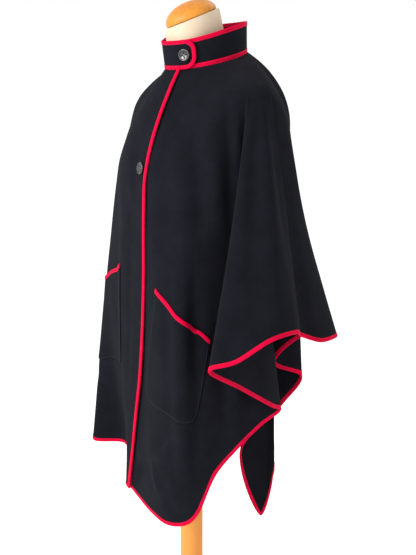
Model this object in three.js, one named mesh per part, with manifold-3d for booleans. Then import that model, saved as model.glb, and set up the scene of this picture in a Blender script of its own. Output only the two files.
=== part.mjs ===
// A wool cape with a stand collar, worn by a limbless dress form on a pole and a round foot.
// Units are millimetres and +Z is up. The garment faces -Y, so +X is the wearer's left.
// The origin is on the pole's axis, at the underside of the foot.
import * as THREE from "three";
import { mergeVertices } from "three/addons/utils/BufferGeometryUtils.js";
import Module from "manifold-3d";

// Cloth and trimming
const CLOTH = 2.5;
const TAPE = 3.4;
const TAPE_WIDTH = 7.5;
const SEAM = 0.3;
const HEM_GAP = 1.3;
const NECK_GAP = 3;

// The lap: how far the right front lies outside the left one, and the headings between which it steps out
const LAP = 5.6;
const LAP_START = 325;
const LAP_END = 352;

// Neck seam, the line where the collar's band meets the cape: a ring that is lower in front
const SEAM_RADIUS = 77;
const SEAM_CENTRE_Y = 35;
const SEAM_FRONT_Z = 1416;
const SEAM_BACK_Z = 1451;
const NECK_BAND = 8;

// Collar
const COLLAR_HEIGHT = 54;
const COLLAR_TOP_RADIUS = 80;
const COLLAR_TOP_CENTRE_Y = 31;
// The collar is a little taller round this heading
const COLLAR_RISE = 0.14;
const COLLAR_RISE_HEADING = 112;
const COLLAR_START = 4;
const COLLAR_END = 407;
const TAB_ROUNDING = 22;
const TAB_LENGTH = 36;

// Buttons
const BUTTON_RADIUS = 11.75;
const BUTTON_THICKNESS = 3.4;
const BUTTON_HOLE = 1.2;
const BUTTON_HOLE_PITCH = 5;
const BUTTON_BEVEL = 0.8;
const COLLAR_BUTTON_HEADING = 392;
const COLLAR_BUTTON_HEIGHT = 26;
const COLLAR_BUTTON_LIFT = 1.3;
const BUST_BUTTON_FROM_EDGE = 0.6;
const BUST_BUTTON_DOWN = 0.21;
const BUST_BUTTON_LIFT = 0.9;

// Dress form, pole and foot
const FORM_SIDES = 36;
const FORM_SQUARENESS = 0.86;
const NECK_TOP_TILT = 0.4;
const NECK_TILT_HEADING = -27;
const CAP_RADIUS = 51;
const CAP_HEIGHT = 33;
const CAP_RIM = 3;
const FORM_BOTTOM = 850;
const POLE_RADIUS = 23;
const FOOT_RADIUS = 185;
const FOOT_HEIGHT = 26;
const FOOT_EDGE = 5;
const ARRIS = 2;

// Where the hem runs steeper than this sine against the fall, its tape is taken as no wider
const STEEPEST_HEM = 0.45;

// How finely the cloth is divided
const FOLD_STEP = 32;
const REST_WEIGHT = 1.5;
const YOKE_STEPS = 5;
const FALL_STEPS = 12;
const YOKE_SHARE = 0.25;
const EDGE_COLUMNS = 3;
const COLLAR_STEP = 8;
const TAB_STEP = 2;

// The rest line: where the cloth leaves the shoulders and chest and starts to fall.
// heading: degrees round the neck from the front; knee: how far above the line the cloth is already upright.
const REST_COLUMNS = ["heading", "x", "y", "z", "knee"];
const REST_LINE = [
  [0, 0, -121, 1205, 110],
  [28, 66, -121, 1205, 84],
  [42, 98, -109, 1210, 68],
  [58, 128, -91, 1219, 84],
  [70, 150, -64, 1269, 70],
  [80, 166, -36, 1323, 45],
  [90, 176, -8, 1352, 30],
  [104, 184, 16, 1366, 24],
  [122, 186, 60, 1366, 34],
  [142, 172, 110, 1321, 76],
  [155, 150, 126, 1289, 98],
  [168, 110, 136, 1269, 95],
  [180, 0, 141, 1262, 100],
];

// The folds, from the left front's edge round the back to the right front's edge.
// seam: heading on the neck seam; x, y, z: the fold's end on the hem; swayX, swayY: how far it bows half way.
const FOLD_COLUMNS = ["seam", "x", "y", "z", "swayX", "swayY"];
const FOLDS = [
  ["left edge", -5, -36, -122, 580, 26, 0],
  ["left placket", 8, 10, -123, 571, 14, 0],
  ["left centre", 24, 75, -128, 565, 4, -3],
  ["left pocket", 40, 128, -124, 563, 8, -6],
  ["left soft ridge", 56, 160, -104, 571, 18, -10],
  ["left front corner", 66, 173, -86, 592, 10, -6],
  ["left side", 76, 181, -52, 666, 4, 0],
  ["left kink", 84, 187, -12, 708, 0, 0],
  ["left inner turn", 90, 193, 44, 752, 0, 0],
  ["left inner ridge", 95, 196, 84, 774, 2, 0],
  ["left inner return", 98, 214, 52, 792, 4, 0],
  ["left under wing", 101, 246, -40, 851, 4, 0],
  ["left wing ridge", 105, 280, -125, 907, 2, 2],
  ["left wing front", 110, 316, -92, 926, 0, 0],
  ["left wing", 116, 338, -34, 962, 0, 0],
  ["left wing back", 120, 326, 26, 965, 0, 0],
  ["left valley", 124, 294, 60, 947, 0, 0],
  ["left back fold", 132, 292, 106, 930, -4, 0],
  ["left back tip", 141, 260, 165, 926, -8, -8],
  ["left tuck", 146, 206, 128, 918, 0, 0],
  ["left tuck ridge", 150, 160, 92, 856, 0, 0],
  ["left cascade", 155, 170, 150, 823, 4, 0],
  ["left cascade edge", 160, 126, 136, 756, 2, 2],
  ["left deep fold", 164, 54, 84, 639, 0, 14],
  ["left back corner", 168, 60, 131, 497, 4, 6],
  ["left back ridge", 172, 84, 146, 604, 4, 2],
  ["left back", 176, 38, 152, 601, 2, 2],
  ["back", 182, -18, 146, 603, 0, 2],
  ["right back", 187, -76, 158, 605, -2, 2],
  ["right back ridge", 191, -118, 148, 607, -4, 2],
  ["right back corner", 196, -114, 126, 551, -4, 6],
  ["right deep fold", 200, -90, 80, 645, -2, 10],
  ["right cascade edge", 205, -152, 118, 740, -2, 2],
  ["right cascade", 208, -182, 149, 812, -4, 0],
  ["right tuck ridge", 212, -164, 94, 878, 0, 0],
  ["right tuck", 216, -206, 124, 913, 0, 0],
  ["right back tip", 220, -256, 158, 935, 6, -6],
  ["right back fold", 229, -284, 108, 943, 4, 0],
  ["right valley", 237, -288, 66, 957, 0, 0],
  ["right wing back", 242, -314, 34, 971, 0, 0],
  ["right wing", 247, -322, -8, 959, 0, 0],
  ["right wing ridge", 254, -290, -39, 926, -2, 2],
  ["right under wing", 260, -248, 12, 857, -4, 0],
  ["right inner return", 263, -219, 52, 811, -4, 0],
  ["right inner ridge", 266, -203, 70, 791, -2, 0],
  ["right inner turn", 271, -203, 28, 763, 0, 0],
  ["right side", 280, -210, -36, 712, -2, 0],
  ["right front corner", 292, -218, -92, 653, -6, -4],
  ["right front ridge", 303, -202, -126, 626, -4, -2],
  ["right trough", 318, -158, -74, 623, 4, -24],
  ["right front", 332, -94, -94, 605, 0, -12],
  ["right placket fold", 346, -54, -117, 585, -4, -8],
  ["right placket", 366, -46, -126, 582, 6, -4],
  ["right edge", 382, -28, -128, 580, 26, -1],
];

// The torso's rings: z, half width, front and back, and how far the ring leans with the neck's top
const TORSO_COLUMNS = ["z", "half", "front", "back", "tilt"];
const TORSO = [
  [FORM_BOTTOM, 150, -102, 94, 0],
  [900, 156, -106, 100, 0],
  [960, 148, -101, 98, 0],
  [1040, 122, -90, 88, 0],
  [1120, 130, -100, 98, 0],
  [1200, 144, -110, 110, 0],
  [1270, 152, -92, 110, 0],
  [1329, 161, -66, 98, 0],
  [1360, 160, -46, 86, 0],
  [1380, 150, -34, 78, 0],
  [1393, 125, -26, 74, 0],
  [1405.5, 92.8, -24, 70, 0],
  [1418, 62, -28, 68, 0],
  [1434, 54, -37, 67, 0.1],
  [1466, 53, -42, 64, 0.24],
  [1495, 51, -45, 57, 0.34],
  [1512, 49.5, -47, 52, NECK_TOP_TILT],
];

// Pockets: points along the opening and along the bottom, inner end first.
// Each is a fold number, which may lie between two folds, and the share of the fall from the rest line to the hem.
const POCKETS = [
  {
    side: "left",
    opening: [[2.58, 0.294], [3.42, 0.34], [4.14, 0.387], [4.72, 0.43], [5.2, 0.478], [5.72, 0.556]],
    bottom: [[1.35, 0.65], [2.52, 0.652], [3.53, 0.67], [4.3, 0.694], [5.03, 0.715]],
  },
  {
    side: "right",
    opening: [[50.8, 0.268], [49.3, 0.325], [47.6, 0.4]],
    bottom: [[50.9, 0.6], [49.2, 0.655], [47.4, 0.705]],
  },
];
const POCKET_CLOTH = 2.4;
const POCKET_LIFT = 1.2;
const POCKET_STEPS = 12;
const POCKET_ROUNDING = 0.2;
const POCKET_CORNER = 0.12;
const POCKET_TAPE = 0.05;
const POCKET_GAP = 0.002;
const POCKET_TAPE_THICKNESS = 3;

const COLOURS = {
  wool: { color: 0x1b1c22, roughness: 0.95, metalness: 0 },
  tape: { color: 0xc00e3a, roughness: 0.85, metalness: 0 },
  button: { color: 0x121316, roughness: 0.45, metalness: 0 },
  jersey: { color: 0xe8d6bc, roughness: 0.9, metalness: 0 },
  cap: { color: 0xd98c42, roughness: 0.5, metalness: 0 },
  pole: { color: 0xe6a35c, roughness: 0.5, metalness: 0 },
};

const radians = THREE.MathUtils.degToRad;
const group = new THREE.Group();

function addMesh(name, geometry, finish) {
  const mesh = new THREE.Mesh(geometry, new THREE.MeshStandardMaterial(COLOURS[finish]));
  mesh.name = name;
  group.add(mesh);
  return mesh;
}

// A table's columns as smooth curves over its keys: at(key) gives an object with every column's value.
function smoothTable(keys, columns, rows) {
  const curve = new THREE.CubicInterpolant(keys, rows.flat(), columns.length);
  return (key) => {
    const values = curve.evaluate(key);
    return Object.fromEntries(columns.map((name, i) => [name, values[i]]));
  };
}

const restTable = smoothTable(REST_LINE.map((row) => row[0]), REST_COLUMNS, REST_LINE);

// A heading past half way round is the mirror of the one before it.
function restAt(heading) {
  const turned = ((heading % 360) + 360) % 360;
  const mirrored = turned > 180;
  const row = restTable(mirrored ? 360 - turned : turned);
  return { point: new THREE.Vector3(mirrored ? -row.x : row.x, row.y, row.z), knee: row.knee };
}

// The right front's layer lies outside the left one where the two lap.
function lapAt(heading) {
  return LAP * THREE.MathUtils.smoothstep(heading, LAP_START, LAP_END);
}

function neckSeam(heading) {
  const angle = radians(heading);
  const middle = (SEAM_FRONT_Z + SEAM_BACK_Z) / 2;
  const radius = SEAM_RADIUS + lapAt(heading);
  return new THREE.Vector3(
    radius * Math.sin(angle),
    SEAM_CENTRE_Y - radius * Math.cos(angle),
    middle + ((SEAM_FRONT_Z - SEAM_BACK_Z) / 2) * Math.cos(angle),
  );
}

// Keys of the folds: the square root of each distance along the hem keeps tight turns round.
const foldEnds = FOLDS.map((row) => new THREE.Vector3(row[2], row[3], row[4]));
const foldKeys = [0];
for (let i = 1; i < FOLDS.length; i += 1) {
  foldKeys.push(foldKeys[i - 1] + Math.sqrt(foldEnds[i].distanceTo(foldEnds[i - 1])));
}
const foldTable = smoothTable(foldKeys, FOLD_COLUMNS, FOLDS.map((row) => row.slice(1)));

// The key of a fold number, which may lie between two folds.
function keyOf(number) {
  const low = Math.min(Math.floor(number), FOLDS.length - 2);
  return THREE.MathUtils.lerp(foldKeys[low], foldKeys[low + 1], number - low);
}

function foldNumber(name) {
  return FOLDS.findIndex((row) => row[0] === name);
}

// A point of the cape's middle surface. down is 0 at the neck seam, YOKE_SHARE on the rest line and 1 at the hem.
function capePoint(key, down) {
  const fold = foldTable(key);
  const seam = neckSeam(fold.seam);
  const { point: rest, knee } = restAt(fold.seam);
  rest.y -= lapAt(fold.seam);
  const hem = new THREE.Vector3(fold.x, fold.y, fold.z);
  const fall = hem.clone().sub(rest);
  if (down >= YOKE_SHARE) {
    const share = (down - YOKE_SHARE) / (1 - YOKE_SHARE);
    const sway = Math.sin(Math.PI * share) ** 2 * 0.5 + Math.sin(Math.PI * share) * 0.5;
    const moved = new THREE.Vector3(fold.swayX, fold.swayY, 0).multiplyScalar(sway);
    return rest.addScaledVector(fall, share).add(moved);
  }
  const share = down / YOKE_SHARE;
  const turn = rest.clone().addScaledVector(fall.clone().normalize(), -knee);
  return new THREE.QuadraticBezierCurve3(seam, turn, rest).getPoint(share);
}

// Unit vectors at a point of a surface: along (towards greater key), down, and out (the normal).
function surfaceFrame(surface, key, down) {
  const step = 0.002;
  const along = surface(key + step * 4, down).sub(surface(key - step * 4, down)).normalize();
  const fall = surface(key, Math.min(down + step, 1)).sub(surface(key, Math.max(down - step, 0))).normalize();
  const out = new THREE.Vector3().crossVectors(fall, along).normalize();
  return { along, fall, out };
}

// A closed wall of one thickness round a grid of middle points: grid[i][j] holds a point and its normal.
function wallGeometry(grid, thickness) {
  const across = grid.length;
  const downs = grid[0].length;
  const positions = [];
  for (const side of [0.5, -0.5]) {
    for (const column of grid) {
      for (const { point, out } of column) {
        positions.push(...point.clone().addScaledVector(out, side * thickness).toArray());
      }
    }
  }
  const index = [];
  const at = (side, i, j) => (side * across + i) * downs + j;
  const quad = (a, b, c, d) => index.push(a, b, c, a, c, d);
  for (let i = 0; i + 1 < across; i += 1) {
    for (let j = 0; j + 1 < downs; j += 1) {
      quad(at(0, i, j), at(0, i, j + 1), at(0, i + 1, j + 1), at(0, i + 1, j));
      quad(at(1, i, j), at(1, i + 1, j), at(1, i + 1, j + 1), at(1, i, j + 1));
    }
    quad(at(0, i + 1, 0), at(1, i + 1, 0), at(1, i, 0), at(0, i, 0));
    const last = downs - 1;
    quad(at(0, i + 1, last), at(0, i, last), at(1, i, last), at(1, i + 1, last));
  }
  for (let j = 0; j + 1 < downs; j += 1) {
    quad(at(0, 0, j + 1), at(0, 0, j), at(1, 0, j), at(1, 0, j + 1));
    const end = across - 1;
    quad(at(0, end, j + 1), at(1, end, j + 1), at(1, end, j), at(0, end, j));
  }
  const geometry = new THREE.BufferGeometry();
  geometry.setAttribute("position", new THREE.Float32BufferAttribute(positions, 3));
  geometry.setIndex(index);
  geometry.computeVertexNormals();
  return geometry;
}

// Cutting tools for closed geometry
const wasm = await Module();
wasm.setup();

function solidOf(geometry) {
  const bare = new THREE.BufferGeometry();
  bare.setAttribute("position", geometry.getAttribute("position"));
  bare.setIndex(geometry.index);
  const merged = mergeVertices(bare);
  return new wasm.Manifold(
    new wasm.Mesh({
      numProp: 3,
      vertProperties: new Float32Array(merged.getAttribute("position").array),
      triVerts: new Uint32Array(merged.index.array),
    }),
  );
}

// A geometry with its neighbours' room cut away. Of the bodies that are left, the largest is kept.
function clearOf(geometry, ...neighbours) {
  const cutBy = (solid, neighbour) => solid.subtract(solidOf(neighbour));
  const bodies = neighbours.reduce(cutBy, solidOf(geometry)).decompose();
  bodies.sort((a, b) => b.volume() - a.volume());
  const mesh = bodies[0].getMesh();
  const cut = new THREE.BufferGeometry();
  cut.setAttribute("position", new THREE.Float32BufferAttribute(mesh.vertProperties, 3));
  cut.setIndex([...mesh.triVerts]);
  cut.computeVertexNormals();
  return cut;
}

// The share of the height that a width measured square to the hem takes up, on the slant where the hem slopes.
function hemShare(key, width) {
  const { along, fall } = surfaceFrame(capePoint, key, 1);
  const square = Math.max(STEEPEST_HEM, Math.sin(along.angleTo(fall)));
  const step = 0.02;
  return (step * width) / (square * capePoint(key, 1).distanceTo(capePoint(key, 1 - step)));
}

function neckShare(key, length) {
  const step = 0.02;
  return (step * length) / capePoint(key, step).distanceTo(capePoint(key, 0));
}

// One column of the cape at a key, moved along the cloth by shift, between two shares of its height.
function capeColumn(key, shift, downs) {
  return downs.map((down) => {
    const frame = surfaceFrame(capePoint, key, down);
    const point = capePoint(key, down).addScaledVector(frame.along, shift);
    return { point, out: frame.out };
  });
}

// Keys from one fold to another, spaced by the distances along the hem and along the rest line.
function keysBetween(first, last) {
  const keys = [];
  for (let i = first; i < last; i += 1) {
    const hem = foldEnds[i].distanceTo(foldEnds[i + 1]);
    const rest = restAt(FOLDS[i][1]).point.distanceTo(restAt(FOLDS[i + 1][1]).point);
    const count = Math.max(1, Math.round(Math.max(hem, rest * REST_WEIGHT) / FOLD_STEP));
    for (let k = 0; k < count; k += 1) {
      keys.push(THREE.MathUtils.lerp(foldKeys[i], foldKeys[i + 1], k / count));
    }
  }
  return [...keys, foldKeys[last]];
}

// The shares of the height where the panels have a row of points, down to the hem's tape.
function panelDowns(key, gap = HEM_GAP) {
  const top = neckShare(key, NECK_GAP);
  const bottom = 1 - hemShare(key, TAPE_WIDTH + gap);
  const downs = [];
  for (let k = 0; k < YOKE_STEPS; k += 1) {
    downs.push(THREE.MathUtils.lerp(top, YOKE_SHARE, k / YOKE_STEPS));
  }
  for (let k = 0; k <= FALL_STEPS; k += 1) {
    downs.push(THREE.MathUtils.lerp(YOKE_SHARE, bottom, k / FALL_STEPS));
  }
  return downs;
}

function tapeDowns(key) {
  return [1 - hemShare(key, TAPE_WIDTH), 1];
}

// A panel of the cape and the tape on its hem. startShift and endShift move its two side edges along the cloth,
// and the columns next to them follow, less and less.
function addPanel(name, first, last, startShift, endShift) {
  const keys = keysBetween(first, last);
  const pull = (steps) => Math.max(0, 1 - steps / EDGE_COLUMNS);
  const shifts = keys.map((key, i) => startShift * pull(i) - endShift * pull(keys.length - 1 - i));
  const grid = keys.map((key, i) => capeColumn(key, shifts[i], panelDowns(key)));
  const panel = wallGeometry(grid, CLOTH);
  addMesh(name, panel, "wool");
  const tape = keys.map((key, i) => capeColumn(key, shifts[i], tapeDowns(key)));
  const roomGrid = keys.map((key, i) => capeColumn(key, shifts[i], panelDowns(key, HEM_GAP - 2 * SEAM)));
  const room = wallGeometry(roomGrid, CLOTH + 2 * SEAM);
  addMesh(name.replace("cape", "hem_binding"), clearOf(wallGeometry(tape, TAPE), panel, room), "tape");
}

// The tape down a front edge, from the neck seam to the hem.
function addEdgeTape(name, key, direction) {
  const downs = [...panelDowns(key).slice(0, -1), ...tapeDowns(key)];
  const shifts = direction > 0 ? [0, TAPE_WIDTH] : [-TAPE_WIDTH, 0];
  const grid = shifts.map((shift) => capeColumn(key, shift, downs));
  addMesh(name, wallGeometry(grid, TAPE), "tape");
}

const leftSeam = foldNumber("left valley");
const rightSeam = foldNumber("right valley");
const lastFold = FOLDS.length - 1;
addPanel("cape_front_left", 0, leftSeam, TAPE_WIDTH + SEAM, SEAM / 2);
addPanel("cape_back", leftSeam, rightSeam, SEAM / 2, SEAM / 2);
addPanel("cape_front_right", rightSeam, lastFold, SEAM / 2, TAPE_WIDTH + SEAM);
addEdgeTape("edge_binding_left", foldKeys[0], 1);
addEdgeTape("edge_binding_right", foldKeys[lastFold], -1);

// Collar surface: heading round the neck, and height above the neck seam.
function collarPoint(heading, height) {
  const angle = radians(heading);
  const share = height / COLLAR_HEIGHT;
  const radius = THREE.MathUtils.lerp(SEAM_RADIUS, COLLAR_TOP_RADIUS, share) + lapAt(heading);
  const centre = THREE.MathUtils.lerp(SEAM_CENTRE_Y, COLLAR_TOP_CENTRE_Y, share);
  const rise = 1 + COLLAR_RISE * Math.max(0, Math.cos(angle - radians(COLLAR_RISE_HEADING))) ** 2;
  const z = neckSeam(heading).z + height * rise;
  return new THREE.Vector3(radius * Math.sin(angle), centre - radius * Math.cos(angle), z);
}

function collarOut(heading) {
  const angle = radians(heading);
  return new THREE.Vector3(Math.sin(angle), -Math.cos(angle), 0);
}

const degreesPerMm = 180 / (Math.PI * (COLLAR_TOP_RADIUS + LAP));

// The collar's outline at a heading, drawn in by inset millimetres from its taped edges: [low, high].
function collarEdges(heading, inset) {
  const left = (COLLAR_END - heading) / degreesPerMm;
  const rounding = TAB_ROUNDING - inset;
  const into = Math.max(0, TAB_ROUNDING - left);
  const cut = rounding - Math.sqrt(Math.max(0, rounding ** 2 - into ** 2));
  const tab = left < TAB_LENGTH + SEAM / 2;
  const low = tab ? inset + cut : NECK_BAND + SEAM;
  return [low, COLLAR_HEIGHT - inset - cut];
}

function collarColumn(heading, low, high, steps) {
  const column = [];
  for (let k = 0; k <= steps; k += 1) {
    const height = THREE.MathUtils.lerp(high, low, k / steps);
    column.push({ point: collarPoint(heading, height), out: collarOut(heading) });
  }
  return column;
}

function headingsBetween(first, last, step) {
  const count = Math.max(1, Math.ceil((last - first) / step));
  return Array.from({ length: count + 1 }, (_, k) => THREE.MathUtils.lerp(first, last, k / count));
}

function addCollar() {
  const inset = TAPE_WIDTH + 3 * SEAM;
  const tabStart = COLLAR_END - TAB_LENGTH * degreesPerMm;
  const roundStart = COLLAR_END - TAB_ROUNDING * degreesPerMm;
  const end = COLLAR_END - inset * degreesPerMm;
  const headings = [
    ...headingsBetween(COLLAR_START, tabStart - SEAM, COLLAR_STEP),
    ...headingsBetween(tabStart, roundStart, COLLAR_STEP),
    ...headingsBetween(roundStart + TAB_STEP, end, TAB_STEP),
  ];
  const grid = headings.map((heading) => {
    const [low, high] = collarEdges(heading, inset);
    return collarColumn(heading, low, high, 2);
  });
  addMesh("collar", wallGeometry(grid, CLOTH), "wool");
}

// The tape round the collar: along the top, round the tab's end and back under the tab.
function addCollarTape() {
  const roundStart = COLLAR_END - TAB_ROUNDING * degreesPerMm;
  const route = headingsBetween(COLLAR_START, roundStart, COLLAR_STEP).map((heading) => [heading, COLLAR_HEIGHT, 0, -1]);
  const corner = (middle, from) => {
    for (let k = 1; k <= 4; k += 1) {
      const angle = radians(from - (k * 90) / 4);
      const across = Math.cos(angle);
      const up = Math.sin(angle);
      route.push([
        roundStart + TAB_ROUNDING * across * degreesPerMm,
        middle + TAB_ROUNDING * up,
        -across,
        -up,
      ]);
    }
  };
  corner(COLLAR_HEIGHT - TAB_ROUNDING, 90);
  corner(TAB_ROUNDING, 0);
  route.push([COLLAR_END - (TAB_LENGTH - 2 * SEAM) * degreesPerMm, 0, 0, 1]);
  const grid = route.map(([heading, height, across, up]) => {
    const inner = [heading + across * TAPE_WIDTH * degreesPerMm, height + up * TAPE_WIDTH];
    return [
      { point: collarPoint(heading, height), out: collarOut(heading) },
      { point: collarPoint(...inner), out: collarOut(inner[0]) },
    ];
  });
  addMesh("collar_binding", wallGeometry(grid, TAPE), "tape");
}

// The band over the neck seam, from one front edge round to the other.
function addNeckBand() {
  const first = FOLDS[0][1];
  const last = COLLAR_END - (TAB_LENGTH + 2 * SEAM) * degreesPerMm;
  const grid = headingsBetween(first, last, COLLAR_STEP).map((heading) => collarColumn(heading, 0, NECK_BAND, 1));
  addMesh("neck_seam_binding", wallGeometry(grid, TAPE), "tape");
}

addCollar();
addCollarTape();
addNeckBand();

// A smooth curve through [fold, fall] pairs at even shares.
function through(row) {
  return smoothTable(row.map((_, i) => i / (row.length - 1)), ["fold", "fall"], row);
}

// How far a pocket's lower corners are cut up by their rounding, as a share of its depth.
function pocketCut(share) {
  const edge = Math.abs(share - 0.5) * 2;
  const into = Math.max(0, (edge - (1 - POCKET_ROUNDING * 2)) / (POCKET_ROUNDING * 2));
  return POCKET_CORNER * (1 - Math.sqrt(1 - into ** 2));
}

// A pocket's points lie on the panel's, moved out. from and to are shares of its depth.
function pocketGrid(pocket, from, to, steps) {
  const grid = [];
  const openingAt = through(pocket.opening);
  const bottomAt = through(pocket.bottom);
  for (let i = 0; i <= POCKET_STEPS; i += 1) {
    const share = i / POCKET_STEPS;
    const opening = openingAt(share);
    const bottom = bottomAt(share);
    const column = [];
    for (let k = 0; k <= steps; k += 1) {
      const low = THREE.MathUtils.lerp(from, to, k / steps) * (1 - pocketCut(share));
      const key = keyOf(THREE.MathUtils.lerp(opening.fold, bottom.fold, low));
      const down = YOKE_SHARE + (1 - YOKE_SHARE) * THREE.MathUtils.lerp(opening.fall, bottom.fall, low);
      const { out } = surfaceFrame(capePoint, key, down);
      const lift = (CLOTH + POCKET_CLOTH) / 2 + POCKET_LIFT;
      column.push({ point: capePoint(key, down).addScaledVector(out, lift), out });
    }
    grid.push(column);
  }
  return pocket.side === "left" ? grid : grid.reverse();
}

for (const pocket of POCKETS) {
  const body = pocketGrid(pocket, POCKET_TAPE + POCKET_GAP, 1, 6);
  addMesh(`pocket_${pocket.side}`, wallGeometry(body, POCKET_CLOTH), "wool");
  const tape = pocketGrid(pocket, 0, POCKET_TAPE, 1);
  addMesh(`pocket_binding_${pocket.side}`, wallGeometry(tape, POCKET_TAPE_THICKNESS), "tape");
}

// A four-hole button, standing on a surface point with its axis along out.
function addButton(name, point, out) {
  const shape = new THREE.Shape();
  shape.absarc(0, 0, BUTTON_RADIUS - BUTTON_BEVEL, 0, Math.PI * 2, false);
  for (const sx of [-0.5, 0.5]) {
    for (const sy of [-0.5, 0.5]) {
      const hole = new THREE.Path();
      hole.absarc(sx * BUTTON_HOLE_PITCH, sy * BUTTON_HOLE_PITCH, BUTTON_HOLE, 0, Math.PI * 2, true);
      shape.holes.push(hole);
    }
  }
  const geometry = new THREE.ExtrudeGeometry(shape, {
    depth: BUTTON_THICKNESS - 2 * BUTTON_BEVEL,
    bevelEnabled: true,
    bevelThickness: BUTTON_BEVEL,
    bevelSize: BUTTON_BEVEL,
    bevelSegments: 1,
    curveSegments: 5,
  });
  geometry.translate(0, 0, BUTTON_BEVEL);
  const mesh = addMesh(name, geometry, "button");
  mesh.quaternion.setFromUnitVectors(new THREE.Vector3(0, 0, 1), out);
  mesh.position.copy(point);
}

const collarButtonOut = collarOut(COLLAR_BUTTON_HEADING);
const collarButtonPoint = collarPoint(COLLAR_BUTTON_HEADING, COLLAR_BUTTON_HEIGHT);
collarButtonPoint.addScaledVector(collarButtonOut, CLOTH / 2 + COLLAR_BUTTON_LIFT);
addButton("collar_button", collarButtonPoint, collarButtonOut);

const bustKey = keyOf(lastFold - BUST_BUTTON_FROM_EDGE);
const bustOut = surfaceFrame(capePoint, bustKey, BUST_BUTTON_DOWN).out;
const bustPoint = capePoint(bustKey, BUST_BUTTON_DOWN).addScaledVector(bustOut, CLOTH / 2 + BUST_BUTTON_LIFT);
addButton("bust_button", bustPoint, bustOut);

// The torso: rings of the form, each a rounded oval, closed by flat ends.
function torsoGeometry() {
  const around = FORM_SIDES;
  const heading = radians(NECK_TILT_HEADING);
  const lean = new THREE.Vector2(Math.sin(heading), -Math.cos(heading));
  const positions = [];
  const index = [];
  for (const row of TORSO) {
    const ring = Object.fromEntries(TORSO_COLUMNS.map((name, i) => [name, row[i]]));
    const middle = (ring.front + ring.back) / 2;
    const depth = (ring.back - ring.front) / 2;
    for (let k = 0; k < around; k += 1) {
      const angle = (2 * Math.PI * k) / around;
      const bend = (value) => Math.sign(value) * Math.abs(value) ** FORM_SQUARENESS;
      const x = ring.half * bend(Math.cos(angle));
      const y = depth * bend(Math.sin(angle));
      positions.push(x, middle + y, ring.z - ring.tilt * (x * lean.x + y * lean.y));
    }
  }
  const rings = TORSO.length;
  for (let j = 0; j + 1 < rings; j += 1) {
    for (let k = 0; k < around; k += 1) {
      const a = j * around + k;
      const b = j * around + ((k + 1) % around);
      index.push(a, b, b + around, a, b + around, a + around);
    }
  }
  for (let k = 1; k + 1 < around; k += 1) {
    index.push(0, k + 1, k);
    const top = (rings - 1) * around;
    index.push(top, top + k, top + k + 1);
  }
  const geometry = new THREE.BufferGeometry();
  geometry.setAttribute("position", new THREE.Float32BufferAttribute(positions, 3));
  geometry.setIndex(index);
  geometry.computeVertexNormals();
  return geometry;
}
addMesh("form_torso", torsoGeometry(), "jersey");

// A turned solid about +Z from [radius, z] pairs that start and end on the axis.
function turned(profile, segments) {
  const points = profile.map(([radius, z]) => new THREE.Vector2(radius, z));
  const geometry = new THREE.LatheGeometry(points, segments);
  geometry.rotateX(Math.PI / 2);
  return geometry;
}

function addCap() {
  const profile = [[0, 0], [CAP_RADIUS - ARRIS, 0], [CAP_RADIUS, CAP_RIM]];
  for (let k = 1; k <= 6; k += 1) {
    const angle = (k * Math.PI) / 12;
    profile.push([CAP_RADIUS * Math.cos(angle), CAP_RIM + (CAP_HEIGHT - CAP_RIM) * Math.sin(angle)]);
  }
  profile[profile.length - 1][0] = 0;
  const cap = addMesh("neck_cap", turned(profile, 32), "cap");
  const top = TORSO[TORSO.length - 1];
  const heading = radians(NECK_TILT_HEADING);
  const lean = new THREE.Vector3(Math.sin(heading), -Math.cos(heading), 0);
  const normal = lean.multiplyScalar(NECK_TOP_TILT).add(new THREE.Vector3(0, 0, 1)).normalize();
  cap.quaternion.setFromUnitVectors(new THREE.Vector3(0, 0, 1), normal);
  cap.position.set(0, (top[2] + top[3]) / 2, top[0]).addScaledVector(normal, SEAM);
}
addCap();

const poleLow = FOOT_HEIGHT + SEAM;
const poleHigh = FORM_BOTTOM - SEAM;
const poleProfile = [[0, poleLow], [POLE_RADIUS, poleLow], [POLE_RADIUS, poleHigh], [0, poleHigh]];
addMesh("pole", turned(poleProfile, 32), "pole");

const footProfile = [
  [0, 0],
  [FOOT_RADIUS - ARRIS, 0],
  [FOOT_RADIUS, ARRIS],
  [FOOT_RADIUS, FOOT_HEIGHT - FOOT_EDGE],
  [FOOT_RADIUS - FOOT_EDGE, FOOT_HEIGHT],
  [0, FOOT_HEIGHT],
];
addMesh("foot", turned(footProfile, 48), "pole");

export default group;
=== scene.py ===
# %% [markdown]
# # A wool cape on a dress form
# The object is a hip-length cape of blue-black wool felt, cut like a ruana: one wide cloth with a hole
# for the neck, open down the front, that falls in folds from the shoulders. A pinkish-red tape is folded
# over every edge. It is worn by a limbless dress form with a wooden cap, pole and foot. Cloth could be
# simulated, but these folds are known from a picture, so each is written down as a row in a table and the
# surface is worked out from the tables. Sizes are millimetres, as on a cutter's table, and MM makes them
# metres.

# %% Load the frame
import math

import bpy
import numpy as np
from mathutils import Matrix, Vector


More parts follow.
